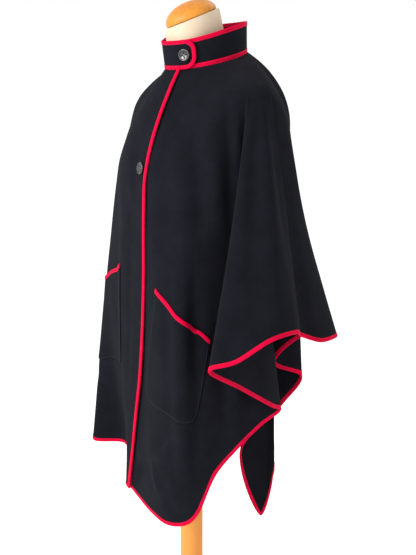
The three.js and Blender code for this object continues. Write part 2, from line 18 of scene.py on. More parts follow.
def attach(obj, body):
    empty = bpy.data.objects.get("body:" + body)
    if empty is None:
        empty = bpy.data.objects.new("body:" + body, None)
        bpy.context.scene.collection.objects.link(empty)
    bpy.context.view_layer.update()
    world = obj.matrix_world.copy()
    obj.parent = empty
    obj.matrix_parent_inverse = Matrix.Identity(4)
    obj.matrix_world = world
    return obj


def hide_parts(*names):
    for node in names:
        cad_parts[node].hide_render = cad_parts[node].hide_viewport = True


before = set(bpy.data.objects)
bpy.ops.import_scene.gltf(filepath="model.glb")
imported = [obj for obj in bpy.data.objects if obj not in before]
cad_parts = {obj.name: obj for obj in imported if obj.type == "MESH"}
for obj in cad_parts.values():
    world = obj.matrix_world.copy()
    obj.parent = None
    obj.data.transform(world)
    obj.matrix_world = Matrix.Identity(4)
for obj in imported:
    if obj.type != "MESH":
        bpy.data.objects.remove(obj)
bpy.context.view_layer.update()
MM = 0.001

# %% [markdown]
# ## The camera
# The picture was taken from the wearer's left front, a little above the chest. The lens is a short
# telephoto: its width comes from how much wider the near front edge looks than the far shoulder. A small
# shift keeps the pole upright.

# %% Camera
CAMERA_HEADING = 60.17
CAMERA_DISTANCE = 2.173
CAMERA_HEIGHT = 1.4967
CAMERA_TILT = 9.886
CAMERA_PAN = -0.501
LENS = 72.66
SHIFT = (0.013, -0.1)


def heading_vector(degrees):
    """A level unit vector at a heading: 0 is the front and 90 the wearer's left."""
    angle = math.radians(degrees)
    return Vector((math.sin(angle), -math.cos(angle), 0))


camera = bpy.data.objects.new("camera", bpy.data.cameras.new("camera"))
bpy.context.scene.collection.objects.link(camera)
bpy.context.scene.camera = camera
camera.data.lens = LENS
camera.data.sensor_width = 36
camera.data.shift_x, camera.data.shift_y = SHIFT
camera.location = heading_vector(CAMERA_HEADING) * CAMERA_DISTANCE + Vector((0, 0, CAMERA_HEIGHT))
sight = -heading_vector(CAMERA_HEADING + CAMERA_PAN) * math.cos(math.radians(CAMERA_TILT))
sight.z = -math.sin(math.radians(CAMERA_TILT))
camera.rotation_mode = "QUATERNION"
camera.rotation_quaternion = sight.to_track_quat("-Z", "Y")
print("camera at", [round(v, 3) for v in camera.location])

# %% [markdown]
# ## The tables of the cape
# The cloth leaves the neck seam, bends over the shoulders and chest, and falls from a rest line to the
# hem. REST_LINE says where it stops lying on the form. FOLDS says where each fold ends on the hem, from
# the left front's edge round the back to the right front's edge, and how far it bows on the way.

# %% Cape tables
CLOTH = 2.2
TAPE_WIDTH = 7.5
LAP = 5.6
LAP_START, LAP_END = 325, 352
SEAM_RADIUS = 77
SEAM_CENTRE_Y = 35
SEAM_FRONT_Z = 1416
SEAM_BACK_Z = 1451
YOKE_SHARE = 0.25
STEEPEST_HEM = 0.45

# heading round the neck, x, y, z, and how far above the line the cloth is already upright
REST_LINE = [
    (0, 0, -121, 1205, 110),
    (28, 66, -121, 1205, 84),
    (42, 98, -109, 1210, 68),
    (58, 128, -91, 1219, 84),
    (70, 150, -64, 1269, 70),
    (80, 166, -36, 1323, 45),
    (90, 176, -8, 1352, 30),
    (104, 184, 16, 1366, 24),
    (122, 186, 60, 1366, 34),
    (142, 172, 110, 1321, 76),
    (155, 150, 126, 1289, 98),
    (168, 110, 136, 1269, 95),
    (180, 0, 141, 1262, 100),
]

# name, heading on the neck seam, x, y, z of its end on the hem, sway in x, sway in y
FOLDS = [
    ("left edge", -5, -36, -122, 580, 26, 0),
    ("left placket", 8, 10, -123, 571, 14, 0),
    ("left centre", 24, 75, -128, 565, 4, -3),
    ("left pocket", 40, 128, -124, 563, 8, -6),
    ("left soft ridge", 56, 160, -104, 571, 18, -10),
    ("left front corner", 66, 173, -86, 592, 10, -6),
    ("left side", 76, 181, -52, 666, 4, 0),
    ("left kink", 84, 187, -12, 708, 0, 0),
    ("left inner turn", 90, 193, 44, 752, 0, 0),
    ("left inner ridge", 95, 196, 84, 774, 2, 0),
    ("left inner return", 98, 214, 52, 792, 4, 0),
    ("left under wing", 101, 246, -40, 851, 4, 0),
    ("left wing ridge", 105, 280, -125, 907, 2, 2),
    ("left wing front", 110, 316, -92, 926, 0, 0),
    ("left wing", 116, 338, -34, 962, 0, 0),
    ("left wing back", 120, 326, 26, 965, 0, 0),
    ("left valley", 124, 294, 60, 947, 0, 0),
    ("left back fold", 132, 292, 106, 930, -4, 0),
    ("left back tip", 141, 260, 165, 926, -8, -8),
    ("left tuck", 146, 206, 128, 918, 0, 0),
    ("left tuck ridge", 150, 160, 92, 856, 0, 0),
    ("left cascade", 155, 170, 150, 823, 4, 0),
    ("left cascade edge", 160, 126, 136, 756, 2, 2),
    ("left deep fold", 164, 54, 84, 639, 0, 14),
    ("left back corner", 168, 60, 131, 497, 4, 6),
    ("left back ridge", 172, 84, 146, 604, 4, 2),
    ("left back", 176, 38, 152, 601, 2, 2),
    ("back", 182, -18, 146, 603, 0, 2),
    ("right back", 187, -76, 158, 605, -2, 2),
    ("right back ridge", 191, -118, 148, 607, -4, 2),
    ("right back corner", 196, -114, 126, 551, -4, 6),
    ("right deep fold", 200, -90, 80, 645, -2, 10),
    ("right cascade edge", 205, -152, 118, 740, -2, 2),
    ("right cascade", 208, -182, 149, 812, -4, 0),
    ("right tuck ridge", 212, -164, 94, 878, 0, 0),
    ("right tuck", 216, -206, 124, 913, 0, 0),
    ("right back tip", 220, -256, 158, 935, 6, -6),
    ("right back fold", 229, -284, 108, 943, 4, 0),
    ("right valley", 237, -288, 66, 957, 0, 0),
    ("right wing back", 242, -314, 34, 971, 0, 0),
    ("right wing", 247, -322, -8, 959, 0, 0),
    ("right wing ridge", 254, -290, -39, 926, -2, 2),
    ("right under wing", 260, -248, 12, 857, -4, 0),
    ("right inner return", 263, -219, 52, 811, -4, 0),
    ("right inner ridge", 266, -203, 70, 791, -2, 0),
    ("right inner turn", 271, -203, 28, 763, 0, 0),
    ("right side", 280, -210, -36, 712, -2, 0),
    ("right front corner", 292, -218, -92, 653, -6, -4),
    ("right front ridge", 303, -202, -126, 626, -4, -2),
    ("right trough", 318, -158, -74, 623, 4, -24),
    ("right front", 332, -94, -94, 605, 0, -12),
    ("right placket fold", 346, -54, -117, 585, -4, -8),
    ("right placket", 366, -46, -126, 582, 6, -4),
    ("right edge", 382, -28, -128, 580, 26, -1),
]

fold_ends = np.array([row[2:5] for row in FOLDS], float)
hem_steps = np.linalg.norm(np.diff(fold_ends, axis=0), axis=1)
fold_keys = np.concatenate([[0], np.cumsum(np.sqrt(hem_steps))])
last_fold = len(FOLDS) - 1
print(len(FOLDS), "folds, hem", round(hem_steps.sum()), "mm round")

# %% Smooth tables


def smooth_table(keys, rows):
    """A smooth curve through a table's rows, straight at its ends. It takes arrays of keys."""
    keys, rows = np.asarray(keys, float), np.asarray(rows, float)
    last = len(keys) - 1

    def at(key):
        key = np.clip(np.asarray(key, float), keys[0], keys[-1])
        low = np.clip(np.searchsorted(keys, key, side="right") - 1, 0, last - 1)
        high = low + 1
        before = np.where(low == 0, high, low - 1)
        after = np.where(high == last, low, high + 1)
        half = (keys[high] - keys[low]) / 2
        lead = half / (keys[low] - keys[before])
        trail = half / (keys[after] - keys[high])
        p = (key - keys[low]) / (2 * half)
        weights = {
            "before": -lead * p**3 + 2 * lead * p**2 - lead * p,
            "low": (1 + lead) * p**3 + (-1.5 - 2 * lead) * p**2 + (-0.5 + lead) * p + 1,
            "high": (-1 - trail) * p**3 + (1.5 + trail) * p**2 + 0.5 * p,
            "after": trail * p**3 - trail * p**2,
        }
        places = {"before": before, "low": low, "high": high, "after": after}
        return sum(weights[k][..., None] * rows[places[k]] for k in places)

    return at


rest_curve = smooth_table([row[0] for row in REST_LINE], REST_LINE)
fold_curve = smooth_table(fold_keys, [row[1:] for row in FOLDS])


def smoothstep(value, low, high):
    share = np.clip((value - low) / (high - low), 0, 1)
    return share * share * (3 - 2 * share)


def unit(vectors):
    return vectors / np.linalg.norm(vectors, axis=-1, keepdims=True)


def key_of(number):
    """The key of a fold number, which may lie between two folds."""
    return np.interp(number, range(len(FOLDS)), fold_keys)


def fold_number(name):
    return [row[0] for row in FOLDS].index(name)


# %% The cape's surface


def lap_at(heading):
    return LAP * smoothstep(heading, LAP_START, LAP_END)


def neck_seam(heading):
    angle = np.radians(heading)
    radius = SEAM_RADIUS + lap_at(heading)
    middle, rise = (SEAM_FRONT_Z + SEAM_BACK_Z) / 2, (SEAM_FRONT_Z - SEAM_BACK_Z) / 2
    x, y = radius * np.sin(angle), SEAM_CENTRE_Y - radius * np.cos(angle)
    return np.stack([x, y, middle + rise * np.cos(angle)], -1)


def rest_at(heading):
    """The rest line at a heading. Past half way round it mirrors the first half."""
    turned = np.mod(heading, 360)
    side = np.where(turned > 180, -1, 1)
    row = rest_curve(np.where(turned > 180, 360 - turned, turned))
    point = np.stack([side * row[..., 1], row[..., 2] - lap_at(heading), row[..., 3]], -1)
    return point, row[..., 4:5]


def cape_point(key, down):
    """The cloth's middle: down is 0 at the neck seam, YOKE_SHARE on the rest line and 1 at the hem."""
    key, down = np.broadcast_arrays(np.asarray(key, float), np.asarray(down, float))
    fold = fold_curve(key)
    rest, knee = rest_at(fold[..., 0])
    fall = fold[..., 1:4] - rest
    share = ((down - YOKE_SHARE) / (1 - YOKE_SHARE))[..., None]
    wave = np.sin(np.pi * share)
    sway = np.concatenate([fold[..., 4:6], np.zeros_like(knee)], -1)
    falling = rest + fall * share + sway * (wave + wave**2) / 2
    turn = rest - unit(fall) * knee
    t = (down / YOKE_SHARE)[..., None]
    yoke = (1 - t) ** 2 * neck_seam(fold[..., 0]) + 2 * t * (1 - t) * turn + t**2 * rest
    return np.where(down[..., None] >= YOKE_SHARE, falling, yoke)


def cape_frame(key, down):
    """Unit vectors on the cloth: along (towards the next fold), down the fall, and out of the cloth."""
    step = 0.002
    key, down = np.broadcast_arrays(np.asarray(key, float), np.asarray(down, float))
    along = unit(cape_point(key + 4 * step, down) - cape_point(key - 4 * step, down))
    low, high = np.minimum(down, 1) - step, np.minimum(down + step, 1)
    fall = unit(cape_point(key, high) - cape_point(key, low))
    return along, fall, unit(np.cross(fall, along))


def hem_share(key, width):
    """The share of the height that a width measured square to the hem takes up."""
    along, fall, _ = cape_frame(key, 1)
    slant = np.maximum(STEEPEST_HEM, np.linalg.norm(np.cross(along, fall), axis=-1))
    step = 0.02
    return step * width / (slant * np.linalg.norm(cape_point(key, 1) - cape_point(key, 1 - step), axis=-1))


def neck_share(key, length):
    step = 0.02
    return step * length / np.linalg.norm(cape_point(key, step) - cape_point(key, 0), axis=-1)


# %% [markdown]
# ## Creases
# Between its big folds real felt is never flat. Drag lines run from the shoulders, the lap pulls, and the
# lower front is rumpled where it has been folded. Sculpting would do it, but then nobody could read the
# shape. So each crease is a row: where it starts and ends on the cloth, how far it bows, how wide it is,
# and its height (below 0 is a trough).

# %% Crease table
# fold and down at the start, fold and down at the end, bow in folds, width, height
CREASES = [
    (3.4, 0.12, 4.2, 0.40, 0.3, 17, 3.4),
    (4.7, 0.12, 5.2, 0.46, 0.2, 14, -4.0),
    (5.9, 0.11, 6.4, 0.50, -0.1, 15, 4.2),
    (7.0, 0.13, 7.1, 0.48, 0.1, 12, -4.4),
    (8.0, 0.14, 7.6, 0.54, 0.0, 13, 4.6),
    (1.2, 0.08, 2.4, 0.30, 0.3, 22, 2.6),
    (0.6, 0.30, 1.0, 0.62, 0.1, 18, -2.0),
    (2.6, 0.34, 3.0, 0.70, 0.1, 26, 3.4),
    (3.9, 0.40, 3.9, 0.92, -0.1, 16, 6.0),
    (4.9, 0.44, 4.7, 0.92, 0.1, 17, -8.0),
    (3.5, 0.775, 1.8, 0.85, 0.1, 10, -9.0),
    (3.2, 0.815, 2.0, 0.875, 0.1, 10, 7.0),
    (0.7, 0.95, 2.0, 0.885, -0.1, 8, -9.0),
    (1.9, 0.875, 2.5, 0.935, 0.1, 8, 8.0),
    (0.6, 0.90, 1.5, 0.865, 0.0, 9, 5.0),
    (2.6, 0.90, 3.3, 0.98, 0.1, 12, -4.4),
    (6.0, 0.62, 6.4, 0.97, 0.2, 13, -5.0),
    (7.1, 0.58, 7.0, 0.97, 0.1, 15, 5.0),
    (12.5, 0.20, 12.7, 0.85, 0.1, 15, 3.6),
    (13.2, 0.16, 13.5, 0.97, -0.1, 15, -5.0),
    (14.1, 0.14, 14.2, 0.97, 0.1, 16, 4.4),
    (14.9, 0.16, 15.2, 0.90, 0.0, 13, -5.5),
    (17.2, 0.16, 17.4, 0.80, 0.1, 13, 2.4),
    (18.6, 0.22, 18.8, 0.86, -0.1, 12, -2.4),
    (22.2, 0.40, 23.8, 0.86, 0.1, 10, 2.2),
    (24.4, 0.45, 24.6, 0.90, 0.1, 11, -2.6),
    (25.6, 0.12, 25.5, 0.66, 0.1, 18, 3.2),
    (26.4, 0.10, 26.3, 0.52, -0.1, 20, -3.0),
    (27.3, 0.14, 27.2, 0.88, 0.1, 24, 2.8),
    (28.3, 0.16, 28.2, 0.70, 0.0, 18, -3.0),
    (26.9, 0.74, 28.4, 0.83, 0.2, 11, -3.2),
    (29.2, 0.20, 29.4, 0.85, 0.1, 15, 2.6),
    (30.4, 0.50, 30.5, 0.92, 0.1, 11, -2.4),
    (33.3, 0.30, 33.2, 0.84, 0.1, 11, 2.0),
    (36.2, 0.18, 36.0, 0.84, 0.1, 13, -2.4),
    (37.4, 0.16, 37.2, 0.84, 0.1, 13, 2.6),
    (39.6, 0.16, 39.5, 0.88, 0.1, 14, 2.8),
    (40.6, 0.18, 40.8, 0.80, -0.1, 14, -2.8),
    (45.6, 0.14, 45.9, 0.50, 0.1, 14, 2.6),
    (46.7, 0.12, 46.9, 0.46, 0.1, 14, -2.6),
    (47.9, 0.12, 48.1, 0.60, 0.1, 16, 2.4),
    (49.4, 0.10, 49.6, 0.38, -0.1, 16, -2.0),
    (47.6, 0.80, 49.2, 0.90, 0.2, 9, -3.2),
    (51.2, 0.12, 51.6, 0.34, 0.1, 15, 1.8),
    (51.6, 0.32, 51.9, 0.88, 0.1, 9, -1.2),
]
CREASE_POINTS = 60
CREASE_REACH = 1.6


def crease_height(key, down):
    """How far the creases lift the cloth out, in millimetres."""
    key, down = np.broadcast_arrays(np.asarray(key, float), np.asarray(down, float))
    number = np.interp(key, fold_keys, range(len(FOLDS)))
    place = cape_point(key, down)
    height = np.zeros(key.shape)
    share = np.linspace(0, 1, CREASE_POINTS)
    for fold_a, down_a, fold_b, down_b, bow, width, rise in CREASES:
        folds = fold_a + (fold_b - fold_a) * share + 4 * bow * share * (1 - share)
        line = cape_point(key_of(folds), down_a + (down_b - down_a) * share)
        near = (number > folds.min() - CREASE_REACH) & (number < folds.max() + CREASE_REACH)
        near &= (down > min(down_a, down_b) - 0.12) & (down < max(down_a, down_b) + 0.12)
        away = np.linalg.norm(place[near][:, None] - line, axis=-1)
        nearest = away.argmin(axis=1) if len(away) else np.zeros(0, int)
        taper = np.sin(np.pi * share[nearest]) ** 0.8
        height[near] += rise * taper * np.exp(-((away.min(axis=1, initial=1e9) / width) ** 2))
    return height + soft_waver(place)


def soft_waver(place):
    """Felt is a little uneven everywhere: slow waves of about half a millimetre, none of them regular."""
    x, y, z = place[..., 0], place[..., 1], place[..., 2]
    slow = np.sin(x / 31 + z / 83 + 0.6) * np.sin(y / 27 - z / 61 + 1.9)
    quick = np.sin(x / 13 - z / 37 + 2.2) * np.sin(y / 11 + z / 29)
    return 0.55 * slow + 0.16 * quick


def draped(key, down):
    """The finished cloth surface: its points and the unit vectors along, down and out."""
    along, fall, out = cape_frame(key, down)
    return cape_point(key, down) + out * crease_height(key, down)[..., None], along, fall, out


print(len(CREASES), "creases")

# %% [markdown]
# ## Making meshes
# Every cloth piece is a closed shell: an outer skin, an inner skin and a rim. A ribbon is a section
# pushed along a row of stations, which suits tape better than a curve with a bevel, because its ends and
# width follow the cloth.

# %% Mesh helpers


def quad_grid(rows, columns, start=0):
    index = start + np.arange(rows * columns).reshape(rows, columns)
    corners = [index[:-1, :-1], index[:-1, 1:], index[1:, 1:], index[1:, :-1]]
    return np.stack(corners, -1).reshape(-1, 4)


def signed_volume(points, faces):
    a, b, c, d = (points[faces[:, k]] for k in range(4))
    return (np.einsum("ij,ij->", a, np.cross(b, c)) + np.einsum("ij,ij->", a, np.cross(c, d))) / 6


def link_mesh(name, points, faces, material, uv=None):
    """A smooth mesh object from points in millimetres and a list of faces."""
    mesh = bpy.data.meshes.new(name)
    mesh.from_pydata((points * MM).tolist(), [], faces)
    mesh.polygons.foreach_set("use_smooth", [True] * len(mesh.polygons))
    if uv is not None:
        layer = mesh.uv_layers.new(name="cloth")
        loops = np.empty(len(mesh.loops), int)
        mesh.loops.foreach_get("vertex_index", loops)
        layer.data.foreach_set("uv", np.asarray(uv, np.float32)[loops].ravel())
    mesh.materials.append(material)
    mesh.update()
    piece = bpy.data.objects.new(name, mesh)
    bpy.context.scene.collection.objects.link(piece)
    return piece


def declare(piece, node=None):
    """Puts a piece on the one rigid body, in place of the CAD node that it dresses."""
    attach(piece, "root")
    if node:
        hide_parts(node)
    return piece


def make_object(name, points, faces, material, uv=None):
    """A closed piece made of quads, turned to face out."""
    points, faces = np.asarray(points, float), np.asarray(faces)
    if signed_volume(points, faces) < 0:
        faces = faces[:, ::-1]
    return declare(link_mesh(name, points, faces.tolist(), material, uv))


def shell(name, points, out, thickness, material):
    """A closed cloth shell round a grid of middle points."""
    rows, columns = points.shape[:2]
    count = rows * columns
    half = thickness / 2
    skins = np.concatenate([(points + out * side).reshape(-1, 3) for side in (half, -half)])
    index = np.arange(count).reshape(rows, columns)
    edge = np.concatenate([index[0], index[1:, -1], index[-1, -2::-1], index[-2:0:-1, 0]])
    rim = np.stack([edge, np.roll(edge, -1), np.roll(edge, -1) + count, edge + count], -1)
    inner_skin = quad_grid(rows, columns, count)[:, ::-1]
    faces = np.concatenate([quad_grid(rows, columns), inner_skin, rim[:, ::-1]])
    return make_object(name, skins, faces, material)


def run_along(points):
    """The distance from the first point to each, along a path."""
    return np.concatenate([[0], np.cumsum(np.linalg.norm(np.diff(points, axis=0), axis=1))])


def ribbon(name, place, outer, inner, material):
    """A section pushed along stations. place(u) gives the stations' points and normals u millimetres in."""
    profile = [*outer, *inner[::-1]]
    rings = []
    for u, lift in profile:
        points, out = place(u)
        rings.append(points + out * lift)
    grid = np.stack(rings, 1)
    stations, sides = grid.shape[:2]
    walls = quad_grid(stations, sides)
    index = np.arange(stations * sides).reshape(stations, sides)
    closing = np.stack([index[:-1, -1], index[:-1, 0], index[1:, 0], index[1:, -1]], -1)
    half = len(outer)
    caps = []
    for row, flip in ((index[0], 1), (index[-1], -1)):
        front, back = row[:half], row[half:][::-1]
        cap = np.stack([front[:-1], back[:-1], back[1:], front[1:]], -1)
        caps.append(cap[:, ::flip])
    faces = np.concatenate([walls, closing, *caps])
    lengths = np.broadcast_arrays(run_along(grid[:, 0])[:, None], run_along(np.array(profile))[None])
    uv = np.stack(lengths, -1).reshape(-1, 2) * MM
    return make_object(name, grid.reshape(-1, 3), faces, material, uv)


# %% [markdown]
# ## Cloth, tape and thread
# Wool felt is matte and fuzzy: light that grazes it is caught by the nap, which the sheen layer gives.
# The colour is nearly black with a little blue, and clouds slightly where the nap is brushed. The tape is
# a woven twill, so it gets fine slanting ribs from its own lengthwise coordinates. Thread and jersey are
# small ribs and loops.

# %% Material helpers


def new_material(name, colour, roughness):
    material = bpy.data.materials.new(name)
    material.use_nodes = True
    shader = material.node_tree.nodes["Principled BSDF"]
    shader.inputs["Base Color"].default_value = (*colour, 1)
    shader.inputs["Roughness"].default_value = roughness
    return material, material.node_tree, shader


def add_node(tree, kind, links=(), **values):
    """A node with socket values and links, each link a pair of input name and output socket."""
    node = tree.nodes.new(kind)
    for key, value in values.items():
        if key in node.inputs:
            node.inputs[key].default_value = value
        else:
            setattr(node, key, value)
    for socket, source in links:
        tree.links.new(source, node.inputs[socket])
    return node


def object_place(tree, scale=(1, 1, 1), turn=(0, 0, 0)):
    coordinates = add_node(tree, "ShaderNodeTexCoord")
    mapping = add_node(tree, "ShaderNodeMapping", [("Vector", coordinates.outputs["Object"])])
    mapping.inputs["Scale"].default_value = scale
    mapping.inputs["Rotation"].default_value = turn
    return mapping.outputs["Vector"]


def noise_at(tree, place, scale, detail=2.0, roughness=0.5, distortion=0.0):
    node = add_node(tree, "ShaderNodeTexNoise", [("Vector", place)])
    node.inputs["Scale"].default_value = scale
    node.inputs["Detail"].default_value = detail
    node.inputs["Roughness"].default_value = roughness
    node.inputs["Distortion"].default_value = distortion
    return node.outputs["Fac"]


def two_tones(tree, factor, dark, light, low=0.3, high=0.7):
    ramp = add_node(tree, "ShaderNodeValToRGB", [("Fac", factor)])
    ramp.color_ramp.elements[0].position, ramp.color_ramp.elements[0].color = low, (*dark, 1)
    ramp.color_ramp.elements[1].position, ramp.color_ramp.elements[1].color = high, (*light, 1)
    return ramp.outputs["Color"]


def mixed(tree, factor, first, second, blend="MIX"):
    node = tree.nodes.new("ShaderNodeMix")
    node.data_type, node.blend_type = "RGBA", blend
    node.inputs["Factor"].default_value = factor if isinstance(factor, float) else 0.5
    if not isinstance(factor, float):
        tree.links.new(factor, node.inputs["Factor"])
    for socket, value in (("A", first), ("B", second)):
        target = [s for s in node.inputs if s.name == socket and s.type == "RGBA"][0]
        tree.links.new(value, target)
    return [s for s in node.outputs if s.type == "RGBA"][0]


def bumps(tree, shader, layers):
    """Stacked bumps: each layer is a height, its strength and its depth in metres."""
    normal = None
    for height, strength, depth in layers:
        links = [("Height", height)] + ([("Normal", normal)] if normal else [])
        node = add_node(tree, "ShaderNodeBump", links, Strength=strength, Distance=depth)
        normal = node.outputs["Normal"]
    tree.links.new(normal, shader.inputs["Normal"])


# %% Wool felt
WOOL_DARK = (0.0042, 0.0044, 0.0066)
WOOL_LIGHT = (0.0088, 0.0089, 0.0130)
NAP_SHEEN = 0.02


def make_wool():
    material, tree, shader = new_material("wool_felt", WOOL_DARK, 0.9)
    place = object_place(tree)
    clouds = noise_at(tree, place, 22, 5, 0.65)
    flecks = noise_at(tree, place, 520, 3, 0.7)
    cloud_tone = two_tones(tree, clouds, WOOL_DARK, WOOL_LIGHT)
    fleck_tone = two_tones(tree, flecks, WOOL_DARK, WOOL_LIGHT, 0.35, 0.75)
    tree.links.new(mixed(tree, 0.45, cloud_tone, fleck_tone), shader.inputs["Base Color"])
    fibres = noise_at(tree, object_place(tree, (1, 1, 0.45)), 1500, 3, 0.65, 0.4)
    pebble = noise_at(tree, place, 420, 2, 0.5)
    bumps(tree, shader, [(pebble, 0.6, 0.0009), (fibres, 0.7, 0.0005)])
    shader.inputs["Sheen Weight"].default_value = NAP_SHEEN
    shader.inputs["Sheen Roughness"].default_value = 0.55
    shader.inputs["Sheen Tint"].default_value = (0.62, 0.64, 0.74, 1)
    shader.inputs["Specular IOR Level"].default_value = 0.03
    return material


wool = make_wool()

# %% Red tape
RED_DARK = (0.36, 0.0001, 0.018)
RED_LIGHT = (0.56, 0.0002, 0.034)
TWILL_PITCH = 0.0011


def make_tape():
    material, tree, shader = new_material("red_twill_tape", RED_LIGHT, 0.75)
    coordinates = add_node(tree, "ShaderNodeUVMap", uv_map="cloth")
    mapping = add_node(tree, "ShaderNodeMapping", [("Vector", coordinates.outputs["UV"])])
    mapping.inputs["Rotation"].default_value = (0, 0, math.radians(35))
    wave = add_node(tree, "ShaderNodeTexWave", [("Vector", mapping.outputs["Vector"])], bands_direction="X")
    wave.inputs["Scale"].default_value = 1 / TWILL_PITCH / 3.1
    wave.inputs["Distortion"].default_value = 0.4
    clouds = noise_at(tree, object_place(tree), 60, 3, 0.6)
    cloud_tone = two_tones(tree, clouds, RED_DARK, RED_LIGHT, 0.2, 0.55)
    rib_tone = two_tones(tree, wave.outputs["Fac"], RED_DARK, RED_LIGHT, 0.0, 0.5)
    tree.links.new(mixed(tree, 0.35, cloud_tone, rib_tone), shader.inputs["Base Color"])
    fuzz = noise_at(tree, object_place(tree), 1800, 2, 0.6)
    bumps(tree, shader, [(wave.outputs["Fac"], 0.35, 0.00018), (fuzz, 0.25, 0.0001)])
    shader.inputs["Specular IOR Level"].default_value = 0.05
    return material


tape_cloth = make_tape()


def make_thread(name, dark, light):
    material, tree, shader = new_material(name, light, 0.6)
    strands = noise_at(tree, object_place(tree), 2600, 2, 0.6)
    tree.links.new(two_tones(tree, strands, dark, light), shader.inputs["Base Color"])
    bumps(tree, shader, [(strands, 0.4, 0.0001)])
    return material


red_thread = make_thread("red_thread", (0.42, 0.001, 0.018), (0.66, 0.004, 0.04))
black_thread = make_thread("black_thread", (0.008, 0.008, 0.011), (0.022, 0.022, 0.028))

# %% [markdown]
# ## The three panels
# The left front, the back and the right front. A sheet bent by a cloth simulation would need a pattern
# and a lot of luck; here the surface is known, so the panel is sampled every few millimetres and given
# its thickness.

# %% Panels
FINE_STEP = 5.6
YOKE_ROWS = 46
FALL_ROWS = 108
EDGE_INSET = 1.7
NECK_INSET = 1.0


def panel_keys(first, last, step):
    """Keys from one fold to another, spaced by the longer of the hem's and the rest line's distances."""
    headings = [row[1] for row in FOLDS]
    keys = []
    for i in range(first, last):
        rest = rest_at(np.array(headings[i : i + 2], float))[0]
        length = max(hem_steps[i], 1.5 * np.linalg.norm(rest[1] - rest[0]))
        count = max(2, round(length / step))
        keys.extend(np.linspace(fold_keys[i], fold_keys[i + 1], count, endpoint=False))
    return np.array([*keys, fold_keys[last]])


def edge_key(key, side, down, distance):
    """The key a distance in from a front edge, at each height. side is 1 at the left edge, else -1."""
    step = 0.05
    speed = np.linalg.norm(cape_point(key + step * side, down) - cape_point(key, down), axis=-1) / step
    return key + side * distance / speed


def panel_grid(first, last, inset_first, inset_last):
    keys = panel_keys(first, last, FINE_STEP)
    top = neck_share(keys, NECK_INSET)
    bottom = 1 - hem_share(keys, EDGE_INSET)
    rows = np.concatenate([np.linspace(0, 1, YOKE_ROWS, endpoint=False), np.linspace(1, 2, FALL_ROWS + 1)])
    upper = top[:, None] + (YOKE_SHARE - top[:, None]) * np.minimum(rows, 1)
    lower = (bottom[:, None] - YOKE_SHARE) * np.maximum(rows - 1, 0)
    down = upper + lower
    start = edge_key(keys[0], 1, down[0], inset_first)
    end = edge_key(keys[-1], -1, down[-1], inset_last)
    share = ((keys - keys[0]) / (keys[-1] - keys[0]))[:, None]
    return start + (end - start) * share, down


def smoothed_down(points, passes):
    """Relaxes each column a little, which takes the corner out of the rest line."""
    for _ in range(passes):
        points[:, 1:-1] = points[:, 1:-1] / 2 + (points[:, 2:] + points[:, :-2]) / 4
    return points


def one_side_area(points):
    u, v = np.diff(points, axis=0)[:, :-1], np.diff(points, axis=1)[:-1]
    return np.linalg.norm(np.cross(u, v), axis=-1).sum() * MM**2


left_seam, right_seam = fold_number("left valley"), fold_number("right valley")
PANELS = {
    "cape_front_left": (0, left_seam, EDGE_INSET, 0),
    "cape_back": (left_seam, right_seam, 0, 0),
    "cape_front_right": (right_seam, last_fold, 0, EDGE_INSET),
}
for name, (first, last, inset_first, inset_last) in PANELS.items():
    key, down = panel_grid(first, last, inset_first, inset_last)
    points, _, _, out = draped(key, down)
    points = smoothed_down(points, 4)
    shell(f"{name}_cloth", points, out, CLOTH, wool)
    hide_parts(name)
    print(name, points.shape[:2], "area", round(one_side_area(points), 3), "m2")

# %% [markdown]
# ## The tape
# A tape is folded over the raw edge, so its section is a long U with the cloth inside. A shallow groove
# near the inner edge is where the stitches pull it down. Stitches are made one by one, as slim beads, in
# a single joined mesh.

# %% Tape and stitches
# u runs in from the edge, and the second number is the height above the cloth's middle
TAPE_FRONT = [
    (7.5, 1.2),
    (7.35, 1.6),
    (6.9, 1.75),
    (6.3, 1.55),
    (5.7, 1.75),
    (3.4, 1.85),
    (1.1, 1.75),
    (0.3, 1.4),
    (-0.15, 0.7),
    (-0.3, 0.0),
]
TAPE_OUTER = [*TAPE_FRONT, *[(u, -w) for u, w in TAPE_FRONT[-2::-1]]]
TAPE_CORE = [
    (7.4, 1.12),
    (7.2, 1.12),
    (6.8, 1.12),
    (6.3, 1.12),
    (5.7, 1.12),
    (3.4, 1.15),
    (1.6, 1.15),
    (1.1, 0.9),
    (0.8, 0.45),
]
TAPE_INNER = [*TAPE_CORE, (0.7, 0.0), *[(u, -w) for u, w in TAPE_CORE[::-1]]]
STITCH_IN = 6.3
STITCH_LIFT = 1.6
STITCH_PITCH = 3.4
STITCH_LENGTH = 2.7
STITCH_RADIUS = 0.28
# a bead's full thickness starts this share of its length from the middle, and its tips sink into the cloth
BEAD_WAIST = 0.26
BEAD_SINK = 0.7


